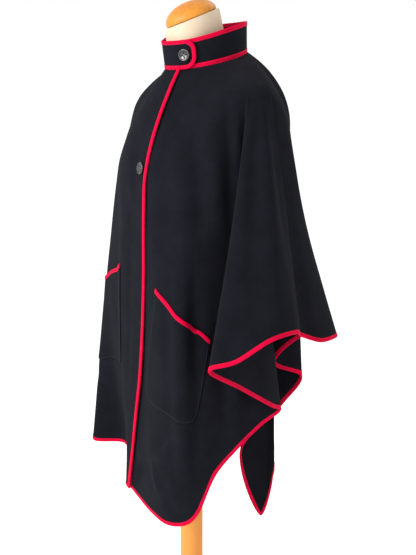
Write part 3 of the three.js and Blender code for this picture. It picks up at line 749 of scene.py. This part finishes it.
def stitch_beads(points, out, pitch=STITCH_PITCH, length=STITCH_LENGTH, radius=STITCH_RADIUS):
    """Slim beads at even steps along a path that lies on a surface: their points and faces."""
    run = run_along(points)
    count = max(1, int(run[-1] / pitch))
    at = (np.arange(count) + 0.5) * run[-1] / count

    def pick(values, where):
        return np.stack([np.interp(where, run, values[:, k]) for k in range(3)], -1)

    middle, normal = pick(points, at), unit(pick(out, at))
    lead = unit(pick(points, at + length / 2) - pick(points, at - length / 2))
    side = unit(np.cross(normal, lead))
    half, ring, sunk = length / 2, length * BEAD_WAIST, -radius * BEAD_SINK
    template = [(-half, 0, sunk), (half, 0, sunk)]
    for x in (-ring, ring):
        template += [(x, radius, 0), (x, 0, radius), (x, -radius, 0), (x, 0, -radius)]
    template = np.array(template)
    beads = middle[:, None] + template[None, :, :1] * lead[:, None]
    beads = beads + template[None, :, 1:2] * side[:, None] + template[None, :, 2:] * normal[:, None]
    low, high = [2, 3, 4, 5, 2], [6, 7, 8, 9, 6]
    body = [(low[k], low[k + 1], high[k + 1], high[k]) for k in range(4)]
    first_tip = [(0, low[k + 1], low[k], low[k]) for k in range(4)]
    last_tip = [(1, high[k], high[k + 1], high[k + 1]) for k in range(4)]
    faces = np.array(body + first_tip + last_tip)[None] + np.arange(count)[:, None, None] * len(template)
    return beads.reshape(-1, 3), faces.reshape(-1, 4)


def join_meshes(parts):
    points, faces, start = [], [], 0
    for part_points, part_faces in parts:
        points.append(part_points)
        faces.append(part_faces + start)
        start += len(part_points)
    return np.concatenate(points), np.concatenate(faces)


def make_beads(name, parts, material):
    """One object of many beads. A tip is a triangle, which the list of quads holds with a doubled corner."""
    points, faces = join_meshes(parts)
    corners = [list(dict.fromkeys(face)) for face in faces.tolist()]
    declare(link_mesh(name, points, corners, material))
    print(name, len(corners), "faces")


def taped(name, place, node):
    """A tape on an edge, with a row of stitches on each of its two sides."""
    piece = ribbon(name, place, TAPE_OUTER, TAPE_INNER, tape_cloth)
    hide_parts(node)
    points, out = place(STITCH_IN)
    for side in (1, -1):
        tape_stitches.append(stitch_beads(points + out * STITCH_LIFT * side, out * side))
    return piece


tape_stitches = []
TAPE_STEP = 3.6
# a hem's tape starts this far in from a front edge, under the edge's own tape
TAPE_OVERLAP = TAPE_WIDTH - 1.5


def hem_place(keys):
    def place(u):
        share = hem_share(keys, TAPE_WIDTH) / TAPE_WIDTH
        points, _, _, out = draped(keys, 1 - share * u)
        return points, out

    return place


def front_place(key, side, down):
    def place(u):
        points, along, _, out = draped(edge_key(key, side, down, max(u, 0)), down)
        return points + along * side * min(u, 0), out

    return place


for name, (first, last, inset_first, inset_last) in PANELS.items():
    keys = panel_keys(first, last, TAPE_STEP)
    if inset_first:
        keys[0] = edge_key(keys[0], 1, np.array(1.0), TAPE_OVERLAP)
        keys = keys[keys >= keys[0]]
    if inset_last:
        keys[-1] = edge_key(keys[-1], -1, np.array(1.0), TAPE_OVERLAP)
        keys = keys[keys <= keys[-1]]
    node = name.replace("cape", "hem_binding")
    taped(name.replace("cape", "hem_tape"), hem_place(keys), node)

# the tape's top end is tucked under the neck band
yoke_down = np.linspace(-0.01, YOKE_SHARE, 60, endpoint=False)
front_down = np.concatenate([yoke_down, np.linspace(YOKE_SHARE, 1, 170)])
edge_tape_left = taped("edge_tape_left", front_place(fold_keys[0], 1, front_down), "edge_binding_left")
edge_tape_right = taped("edge_tape_right", front_place(fold_keys[-1], -1, front_down), "edge_binding_right")

# %% [markdown]
# ## The collar
# A stand collar is a band that leans in a little. Its right end goes on past the front as a rounded tab,
# which buttons over the left end. The tape runs along the top, round the tab and back under it, and a
# second tape hides the seam between collar and cape.

# %% Collar
COLLAR_HEIGHT = 54
COLLAR_TOP_RADIUS = 80
COLLAR_TOP_CENTRE_Y = 31
COLLAR_RISE = 0.14
COLLAR_RISE_HEADING = 112
COLLAR_START, COLLAR_END = 4, 407
NECK_BAND = 8
TAB_ROUNDING = 22
TAB_LENGTH = 36
DEGREES_PER_MM = 180 / (math.pi * (COLLAR_TOP_RADIUS + LAP))
SEAM = 0.3


def collar_point(heading, height):
    heading, height = np.broadcast_arrays(np.asarray(heading, float), np.asarray(height, float))
    angle, share = np.radians(heading), height / COLLAR_HEIGHT
    radius = SEAM_RADIUS + (COLLAR_TOP_RADIUS - SEAM_RADIUS) * share + lap_at(heading)
    radius = radius + 0.7 * np.sin(angle * 2 + 0.8) * share + 0.5 * np.sin(angle * 5) * share * (1 - share)
    centre = SEAM_CENTRE_Y + (COLLAR_TOP_CENTRE_Y - SEAM_CENTRE_Y) * share
    rise = 1 + COLLAR_RISE * np.maximum(0, np.cos(angle - math.radians(COLLAR_RISE_HEADING))) ** 2
    z = neck_seam(heading)[..., 2] + height * rise
    return np.stack([radius * np.sin(angle), centre - radius * np.cos(angle), z], -1)


def collar_out(heading):
    angle = np.radians(heading)
    return np.stack([np.sin(angle), -np.cos(angle), np.zeros_like(angle)], -1)


def collar_edges(heading, inset):
    """The collar's lower and upper edge at a heading, drawn in by an inset."""
    left = (COLLAR_END - heading) / DEGREES_PER_MM
    rounding = TAB_ROUNDING - inset
    into = np.clip(TAB_ROUNDING - left, 0, rounding)
    cut = rounding - np.sqrt(rounding**2 - into**2)
    low = np.where(left < TAB_LENGTH, inset + cut, NECK_BAND - 1)
    return low, COLLAR_HEIGHT - inset - cut


tab_start = COLLAR_END - TAB_LENGTH * DEGREES_PER_MM
collar_headings = np.concatenate(
    [
        np.linspace(COLLAR_START, tab_start, 150),
        np.linspace(tab_start + 0.02, COLLAR_END - (EDGE_INSET + 0.1) * DEGREES_PER_MM, 40),
    ]
)
low, high = collar_edges(collar_headings, EDGE_INSET)
heights = high[:, None] + (low - high)[:, None] * np.linspace(0, 1, 16)
collar_points = collar_point(collar_headings[:, None], heights)
collar_normals = np.broadcast_to(collar_out(collar_headings)[:, None], collar_points.shape)
collar = shell("collar_cloth", collar_points, collar_normals, CLOTH, wool)
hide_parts("collar")

# %% Collar tapes


def tab_route():
    """Stations round the collar's free edge: heading, height, and the way in across and up."""
    round_start = COLLAR_END - TAB_ROUNDING * DEGREES_PER_MM
    route = [(h, COLLAR_HEIGHT, 0, -1) for h in np.linspace(COLLAR_START, round_start, 150)]
    for middle, start in ((COLLAR_HEIGHT - TAB_ROUNDING, 90), (TAB_ROUNDING, 0)):
        for angle in np.radians(start - np.linspace(3, 90, 14)):
            across, up = math.cos(angle), math.sin(angle)
            heading = round_start + TAB_ROUNDING * across * DEGREES_PER_MM
            route.append((heading, middle + TAB_ROUNDING * up, -across, -up))
    end = COLLAR_END - (TAB_LENGTH - 2 * SEAM) * DEGREES_PER_MM
    route += [(h, 0, 0, 1) for h in np.linspace(round_start - 0.5, end, 6)]
    return np.array(route, float)


def collar_place(u):
    heading, height, across, up = tab_route().T
    heading = heading + across * u * DEGREES_PER_MM
    return collar_point(heading, height + up * u), collar_out(heading)


collar_tape = taped("collar_tape", collar_place, "collar_binding")

BAND_OUTER = [(0.0, 0.5), (0.3, 1.4), (1.2, 1.75), (4.0, 1.85), (6.8, 1.75), (7.7, 1.4), (8.0, 0.5)]
BAND_INNER = [(u, -w) for u, w in BAND_OUTER]
band_headings = np.linspace(FOLDS[0][1], COLLAR_END - (TAB_LENGTH + 2 * SEAM) * DEGREES_PER_MM, 160)


def band_place(u):
    return collar_point(band_headings, u), collar_out(band_headings)


neck_tape = ribbon("neck_tape", band_place, BAND_OUTER, BAND_INNER, tape_cloth)
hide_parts("neck_seam_binding")
for height in (1.3, 6.7):
    points, out = band_place(height)
    tape_stitches.append(stitch_beads(points + out * 1.7, out))
make_beads("tape_stitches", tape_stitches, red_thread)

# %% [markdown]
# ## The pockets
# Patch pockets lie on the fronts, so their points are the front's points moved out by both thicknesses.
# The slanted opening stands a little proud, as a used pocket does, and its edge is taped. Fine stitches
# hold the other edges.

# %% Pockets
# points along the opening and along the bottom, inner end first: fold number and share of the fall
POCKETS = {
    "left": (
        [(2.58, 0.294), (3.42, 0.34), (4.14, 0.387), (4.72, 0.43), (5.2, 0.478), (5.72, 0.556)],
        [(1.35, 0.65), (2.52, 0.652), (3.53, 0.67), (4.3, 0.694), (5.03, 0.715)],
    ),
    "right": (
        [(50.8, 0.268), (49.3, 0.325), (47.6, 0.4)],
        [(50.9, 0.6), (49.2, 0.655), (47.4, 0.705)],
    ),
}
POCKET_CLOTH = 1.7
POCKET_LIFT = 0.25
POCKET_GAPE = 1.4
POCKET_ROUNDING = 0.2
POCKET_CORNER = 0.12
POCKET_COLUMNS = 60
POCKET_ROWS = 56


def through(row, share):
    """A smooth curve through the points of a row, at even shares."""
    return smooth_table(np.linspace(0, 1, len(row)), row)(share)


def pocket_cut(share):
    edge = np.abs(share - 0.5) * 2
    into = np.clip((edge - (1 - POCKET_ROUNDING * 2)) / (POCKET_ROUNDING * 2), 0, 1)
    return POCKET_CORNER * (1 - np.sqrt(1 - into**2))


def pocket_point(side, share, depth, lift=0.0):
    """A point of a pocket: share runs from its inner end, and depth from the opening to the bottom."""
    opening, bottom = POCKETS[side]
    share, depth = np.broadcast_arrays(np.asarray(share, float), np.asarray(depth, float))
    rounded = (depth * (1 - pocket_cut(share)))[..., None]
    top, low = through(opening, share), through(bottom, share)
    fold, fall = np.moveaxis(top + (low - top) * rounded, -1, 0)
    points, _, _, out = draped(key_of(fold), YOKE_SHARE + (1 - YOKE_SHARE) * fall)
    gape = POCKET_GAPE * np.sin(np.pi * share) ** 0.7 * np.exp(-np.maximum(depth, 0) * 7)
    proud = (CLOTH + POCKET_CLOTH) / 2 + POCKET_LIFT + gape + lift
    return points + out * proud[..., None], out


def pocket_place(side, shares):
    """Stations along the opening. u is measured square to it."""
    step = 0.02
    edge = pocket_point(side, shares, 0)[0]
    inward = pocket_point(side, shares, step)[0] - edge
    tangent = unit(np.gradient(edge, axis=0))
    square = np.linalg.norm(inward - tangent * (inward * tangent).sum(-1, keepdims=True), axis=-1)

    def place(u):
        return pocket_point(side, shares, step * u / square)

    return place


pocket_stitches = []
for side in POCKETS:
    order = 1 if side == "left" else -1
    shares = np.linspace(0, 1, POCKET_COLUMNS)[::order]
    points, out = pocket_point(side, shares[:, None], np.linspace(0.012, 1, POCKET_ROWS))
    shell(f"pocket_{side}_cloth", points, out, POCKET_CLOTH, wool)
    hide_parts(f"pocket_{side}")
    place = pocket_place(side, shares)
    piece = ribbon(f"pocket_tape_{side}", place, TAPE_OUTER, TAPE_INNER, tape_cloth)
    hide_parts(f"pocket_binding_{side}")
    inset = 0.022
    outline = np.array(
        [(inset, d) for d in np.linspace(0.07, 0.98, 60)]
        + [(s, 0.98) for s in np.linspace(inset, 1 - inset, 80)[1:-1]]
        + [(1 - inset, d) for d in np.linspace(0.98, 0.07, 60)]
    )
    line, normal = pocket_point(side, outline[:, 0], outline[:, 1], POCKET_CLOTH / 2 + 0.1)
    pocket_stitches.append(stitch_beads(line, normal))
    points, out = place(STITCH_IN)
    red_row = stitch_beads(points + out * STITCH_LIFT, out)
    make_beads(f"pocket_tape_stitches_{side}", [red_row], red_thread)
make_beads("pocket_stitches", pocket_stitches, black_thread)

# %% [markdown]
# ## The buttons
# A turned disc with a rim, a dish and four holes. The holes are cut with a boolean, the quickest way to a
# clean edge, and two bars of thread cross them.

# %% Buttons
BUTTON_RADIUS = 11.75
BUTTON_HOLE = 1.15
BUTTON_HOLE_PITCH = 5
BUTTON_PROFILE = [
    (0, 0),
    (10.6, 0),
    (11.4, 0.5),
    (BUTTON_RADIUS, 1.3),
    (11.6, 2.3),
    (11.0, 3.1),
    (10.2, 3.4),
    (9.4, 3.2),
    (8.6, 2.6),
    (7.6, 2.3),
    (0, 2.2),
]


def make_plastic():
    material, tree, shader = new_material("button_horn", (0.006, 0.006, 0.007), 0.3)
    swirl = noise_at(tree, object_place(tree), 160, 4, 0.6, 1.2)
    tone = two_tones(tree, swirl, (0.004, 0.004, 0.005), (0.012, 0.012, 0.014))
    tree.links.new(tone, shader.inputs["Base Color"])
    scuffs = noise_at(tree, object_place(tree), 1400, 2, 0.7)
    bumps(tree, shader, [(scuffs, 0.12, 0.0001)])
    shader.inputs["Coat Weight"].default_value = 0.3
    shader.inputs["Coat Roughness"].default_value = 0.2
    return material


def make_wood(name, dark, light, grain_scale, ring_scale, roughness):
    material, tree, shader = new_material(name, light, roughness)
    lengthwise = object_place(tree, (1, 1, 0.04))
    grain = noise_at(tree, lengthwise, grain_scale, 4, 0.65, 0.3)
    pores = noise_at(tree, object_place(tree, (1, 1, 0.02)), grain_scale * 6, 2, 0.6)
    rings = noise_at(tree, object_place(tree, (1, 1, 0.12)), ring_scale, 2, 0.5, 0.8)
    grain_tone = two_tones(tree, grain, dark, light, 0.3, 0.62)
    ring_tone = two_tones(tree, rings, dark, light, 0.35, 0.6)
    pore_tone = two_tones(tree, pores, dark, light, 0.30, 0.44)
    tone = mixed(tree, 0.35, mixed(tree, 0.4, grain_tone, ring_tone), pore_tone)
    tree.links.new(tone, shader.inputs["Base Color"])
    bumps(tree, shader, [(pores, 0.15, 0.0002)])
    shader.inputs["Coat Weight"].default_value = 0.06
    shader.inputs["Specular IOR Level"].default_value = 0.25
    shader.inputs["Coat Roughness"].default_value = 0.25
    return material


def turned(name, profile, segments, material):
    """A solid turned on the Z axis, from pairs of radius and height that start and end on the axis."""
    angles = np.linspace(0, 2 * np.pi, segments, endpoint=False)
    rings = np.array(profile[1:-1], float)
    x = rings[None, :, 0] * np.cos(angles)[:, None]
    y = rings[None, :, 0] * np.sin(angles)[:, None]
    z = np.broadcast_to(rings[None, :, 1], x.shape)
    points = np.stack([x, y, z], -1).reshape(-1, 3)
    poles = np.array([[0, 0, profile[0][1]], [0, 0, profile[-1][1]]], float)
    count, levels = len(points), len(rings)
    index = np.arange(count).reshape(segments, levels)
    following = np.roll(index, -1, axis=0)
    corners = [index[:, :-1], following[:, :-1], following[:, 1:], index[:, 1:]]
    sides = np.stack(corners, -1).reshape(-1, 4).tolist()
    low = [[count, b, a] for a, b in zip(index[:, 0].tolist(), following[:, 0].tolist())]
    high = [[count + 1, a, b] for a, b in zip(index[:, -1].tolist(), following[:, -1].tolist())]
    return link_mesh(name, np.concatenate([points, poles]), sides + low + high, material)


def cut_with(piece, cutter):
    """Cuts one mesh out of another and applies the result."""
    cut = piece.modifiers.new("cut", "BOOLEAN")
    cut.object, cut.solver = cutter, "EXACT"
    bpy.context.view_layer.update()
    result = bpy.data.meshes.new_from_object(piece.evaluated_get(bpy.context.evaluated_depsgraph_get()))
    piece.modifiers.clear()
    old, piece.data = piece.data, result
    bpy.data.meshes.remove(old)
    bpy.data.objects.remove(cutter)


def standing(piece, point, out):
    """Stands a piece made round the origin on a surface point, with its axis along the normal."""
    turn = Vector((0, 0, 1)).rotation_difference(Vector(out)).to_matrix().to_4x4()
    piece.data.transform(Matrix.Translation(Vector(point) * MM) @ turn)
    return piece


button_horn = make_plastic()


def make_button(name, point, out):
    button = turned(name, BUTTON_PROFILE, 72, button_horn)
    drill_profile = [(0, -2), (BUTTON_HOLE, -2), (BUTTON_HOLE, 6), (0, 6)]
    half = BUTTON_HOLE_PITCH / 2
    for x, y in ((half, half), (half, -half), (-half, half), (-half, -half)):
        drill = turned("drill", drill_profile, 20, button_horn)
        drill.data.transform(Matrix.Translation((x * MM, y * MM, 0)))
        cut_with(button, drill)
    declare(standing(button, point, out), name)


COLLAR_BUTTON_HEADING = 392.0
collar_button_out = collar_out(np.array(COLLAR_BUTTON_HEADING))
collar_button_at = collar_point(COLLAR_BUTTON_HEADING, 26.0) + collar_button_out * (CLOTH / 2 + 1.3)
make_button("collar_button", collar_button_at, collar_button_out)
bust_key = key_of(last_fold - 0.6)
cloth_at, bust_along, _, bust_out = draped(bust_key, 0.21)
bust_button_at = cloth_at + bust_out * (CLOTH / 2 + 1.0)
make_button("bust_button", bust_button_at, bust_out)
print("buttons", BUTTON_RADIUS * 2, "mm across")

# %% Button thread


def button_bars(point, out, across):
    """Two thread bars over the button's holes."""
    side = np.cross(out, across)
    bars = []
    for shift in (-BUTTON_HOLE_PITCH / 2, BUTTON_HOLE_PITCH / 2):
        start = point + side * shift - across * BUTTON_HOLE_PITCH / 2 + out * 2.2
        line = start + across * np.linspace(0, BUTTON_HOLE_PITCH, 5)[:, None]
        for offset in (-0.45, 0.45):
            path = line + side * offset
            bars.append(stitch_beads(path, np.broadcast_to(out, path.shape), 5.2, 6.0, 0.5))
    return bars


collar_across = np.array([-collar_button_out[1], collar_button_out[0], 0])
bars = button_bars(collar_button_at, collar_button_out, collar_across)
bars += button_bars(bust_button_at, bust_out, bust_along)
make_beads("button_thread", bars, black_thread)

# %% [markdown]
# ## The dress form
# The torso is padded and covered with cream jersey, so it has no edges but its top and bottom. It is made
# from rings, like the ones a form maker would cut as ribs, with a smooth curve through them. Cap, pole
# and foot are turned.

# %% Dress form
FORM_SIDES = 112
FORM_LEVELS = 150
FORM_SQUARENESS = 0.86
NECK_TILT_HEADING = -27
NECK_TOP_TILT = 0.4
FORM_BOTTOM = 850
# z, half width, front, back, and how far the ring leans with the neck's top
TORSO = [
    (FORM_BOTTOM, 150, -102, 94, 0),
    (900, 156, -106, 100, 0),
    (960, 148, -101, 98, 0),
    (1040, 122, -90, 88, 0),
    (1120, 130, -100, 98, 0),
    (1200, 144, -110, 110, 0),
    (1270, 152, -92, 110, 0),
    (1329, 161, -66, 98, 0),
    (1360, 160, -46, 86, 0),
    (1380, 150, -34, 78, 0),
    (1393, 125, -26, 74, 0),
    (1405.5, 92.8, -24, 70, 0),
    (1418, 62, -28, 68, 0),
    (1434, 54, -37, 67, 0.1),
    (1466, 53, -42, 64, 0.24),
    (1495, 51, -45, 57, 0.34),
    (1512, 49.5, -47, 52, NECK_TOP_TILT),
]


def make_jersey():
    material, tree, shader = new_material("cream_jersey", (0.58, 0.47, 0.34), 0.85)
    place = object_place(tree)
    clouds = noise_at(tree, place, 18, 3, 0.6)
    tone = two_tones(tree, clouds, (0.52, 0.42, 0.30), (0.62, 0.51, 0.375), 0.25, 0.7)
    tree.links.new(tone, shader.inputs["Base Color"])
    turned_place = object_place(tree, turn=(0, 0, 0.6))
    wales = add_node(tree, "ShaderNodeTexWave", [("Vector", turned_place)], bands_direction="X")
    wales.inputs["Scale"].default_value = 260
    rows = add_node(tree, "ShaderNodeTexWave", [("Vector", place)], bands_direction="Z")
    rows.inputs["Scale"].default_value = 330
    bumps(tree, shader, [(wales.outputs["Fac"], 0.12, 0.0002), (rows.outputs["Fac"], 0.12, 0.0002)])
    shader.inputs["Specular IOR Level"].default_value = 0.15
    return material


jersey = make_jersey()
cap_wood = make_wood("cap_wood", (0.36, 0.115, 0.010), (0.58, 0.22, 0.024), 60, 34, 0.5)
pole_wood = make_wood("pole_wood", (0.50, 0.175, 0.026), (0.64, 0.25, 0.042), 70, 40, 0.5)


def torso_grid():
    levels = np.linspace(0, len(TORSO) - 1, FORM_LEVELS)
    z, half, front, back, tilt = smooth_table(range(len(TORSO)), TORSO)(levels).T[:, :, None]
    angle = np.linspace(0, 2 * np.pi, FORM_SIDES, endpoint=False)[None]
    across, deep = (np.sign(v) * np.abs(v) ** FORM_SQUARENESS for v in (np.cos(angle), np.sin(angle)))
    x, y = half * across, (back - front) / 2 * deep
    lean = heading_vector(NECK_TILT_HEADING)
    return np.stack([x, (front + back) / 2 + y, z - tilt * (x * lean.x + y * lean.y)], -1)


def make_torso():
    grid = torso_grid()
    levels, sides = grid.shape[:2]
    ends = []
    for ring in (grid[0], grid[-1]):
        centre = ring.mean(axis=0)
        ends.append(np.stack([centre + (ring - centre) * share for share in (0.985, 0.94, 0.5, 0.02)]))
    ends[0][:, :, 2] -= 0.6
    rings = np.concatenate([ends[0][::-1], grid, ends[1]])
    total = len(rings)
    index = np.arange(total * sides).reshape(total, sides)
    following = np.roll(index, -1, axis=1)
    faces = np.stack([index[:-1], following[:-1], following[1:], index[1:]], -1).reshape(-1, 4)
    return rings.reshape(-1, 3), faces


torso_points, torso_faces = make_torso()
torso = make_object("form_jersey", torso_points, torso_faces, jersey)
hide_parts("form_torso")

CAP_RADIUS, CAP_HEIGHT, CAP_RIM = 51, 33, 3
DOME_HEIGHT = CAP_HEIGHT - CAP_RIM
angles = np.linspace(0.02, 1.5, 26)
dome = [(CAP_RADIUS * math.cos(a), CAP_RIM + DOME_HEIGHT * math.sin(a)) for a in angles]
cap_profile = [(0, 0.2), (48.5, 0.2), (49.6, 0.6), (50.4, 1.4), (50.8, 2.2), *dome, (0, CAP_HEIGHT)]
cap = turned("neck_cap_wood", cap_profile, 96, cap_wood)
top_z, _, top_front, top_back, _ = TORSO[-1]
cap_normal = (heading_vector(NECK_TILT_HEADING) * NECK_TOP_TILT + Vector((0, 0, 1))).normalized()
cap_seat = Vector((0, (top_front + top_back) / 2, top_z)) + cap_normal * SEAM
declare(standing(cap, cap_seat, cap_normal), "neck_cap")

POLE_RADIUS, FOOT_RADIUS, FOOT_HEIGHT = 23, 185, 26
pole_profile = [(0, FOOT_HEIGHT + 0.3), (22.4, FOOT_HEIGHT + 0.3), (POLE_RADIUS, FOOT_HEIGHT + 1.2)]
pole_profile += [(POLE_RADIUS, z) for z in np.linspace(FOOT_HEIGHT + 20, FORM_BOTTOM - 20, 30)]
pole_profile += [(POLE_RADIUS, FORM_BOTTOM - 1.2), (22.4, FORM_BOTTOM - 0.4), (0, FORM_BOTTOM - 0.4)]
declare(turned("pole_wood", pole_profile, 72, pole_wood), "pole")

rounding = [(180 + 5 * math.cos(a), 21 + 5 * math.sin(a)) for a in np.linspace(0, math.pi / 2, 8)]
foot_profile = [(0, 0), (FOOT_RADIUS - 2, 0), (FOOT_RADIUS - 0.6, 0.6), (FOOT_RADIUS, 2), (FOOT_RADIUS, 14)]
foot_profile += [*rounding, (150, FOOT_HEIGHT), (60, FOOT_HEIGHT), (0, FOOT_HEIGHT)]
declare(turned("foot_wood", foot_profile, 128, pole_wood), "foot")

# %% [markdown]
# ## The cloth's areas
# Each panel's area is printed above, measured on one side of the draped cloth. A front has its corner
# rounded off, and the back is both halves in one.

# %% [markdown]
# ## Floor and light
# A pale studio: a wide floor that runs out of sight, an even white sky, and three soft lamps: a strong
# one in front, and weaker ones from the wearer's left and from behind, so that the folds keep their
# shape.

# %% Floor, sky and lamps
floor_mesh = bpy.data.meshes.new("floor")
REACH = 30
FLOOR_GLOW = 0.12
floor_corners = [(-REACH, -REACH, 0), (REACH, -REACH, 0), (REACH, REACH, 0), (-REACH, REACH, 0)]
floor_mesh.from_pydata(floor_corners, [], [(0, 1, 2, 3)])
floor = bpy.data.objects.new("floor", floor_mesh)
bpy.context.scene.collection.objects.link(floor)
floor_paint, _, floor_shader = new_material("floor_paint", (0.97, 0.97, 0.97), 0.9)
floor_shader.inputs["Specular IOR Level"].default_value = 0.0
floor_shader.inputs["Emission Color"].default_value = (1, 1, 1, 1)
floor_shader.inputs["Emission Strength"].default_value = FLOOR_GLOW
floor_mesh.materials.append(floor_paint)

SKY_STRENGTH = 1.0
world = bpy.data.worlds.new("studio")
world.use_nodes = True
world.node_tree.nodes["Background"].inputs["Color"].default_value = (1, 1, 1, 1)
world.node_tree.nodes["Background"].inputs["Strength"].default_value = SKY_STRENGTH
bpy.context.scene.world = world
bpy.context.scene.view_settings.view_transform = "Standard"

# heading, distance, height, aimed at height, width, watts
LAMPS = {
    "key_lamp": (4, 2.6, 2.0, 1.05, 1.0, 88),
    "fill_lamp": (112, 3.0, 1.5, 0.8, 1.6, 10),
    "top_lamp": (200, 1.8, 2.9, 1.2, 1.2, 12),
}
for name, (heading, distance, height, aim, width, watts) in LAMPS.items():
    lamp = bpy.data.objects.new(name, bpy.data.lights.new(name, "AREA"))
    bpy.context.scene.collection.objects.link(lamp)
    lamp.data.size, lamp.data.energy = width, watts
    lamp.location = heading_vector(heading) * distance + Vector((0, 0, height))
    lamp.rotation_mode = "QUATERNION"
    lamp.rotation_quaternion = (Vector((0, 0, aim)) - lamp.location).to_track_quat("-Z", "Y")
print("lamps", list(LAMPS))
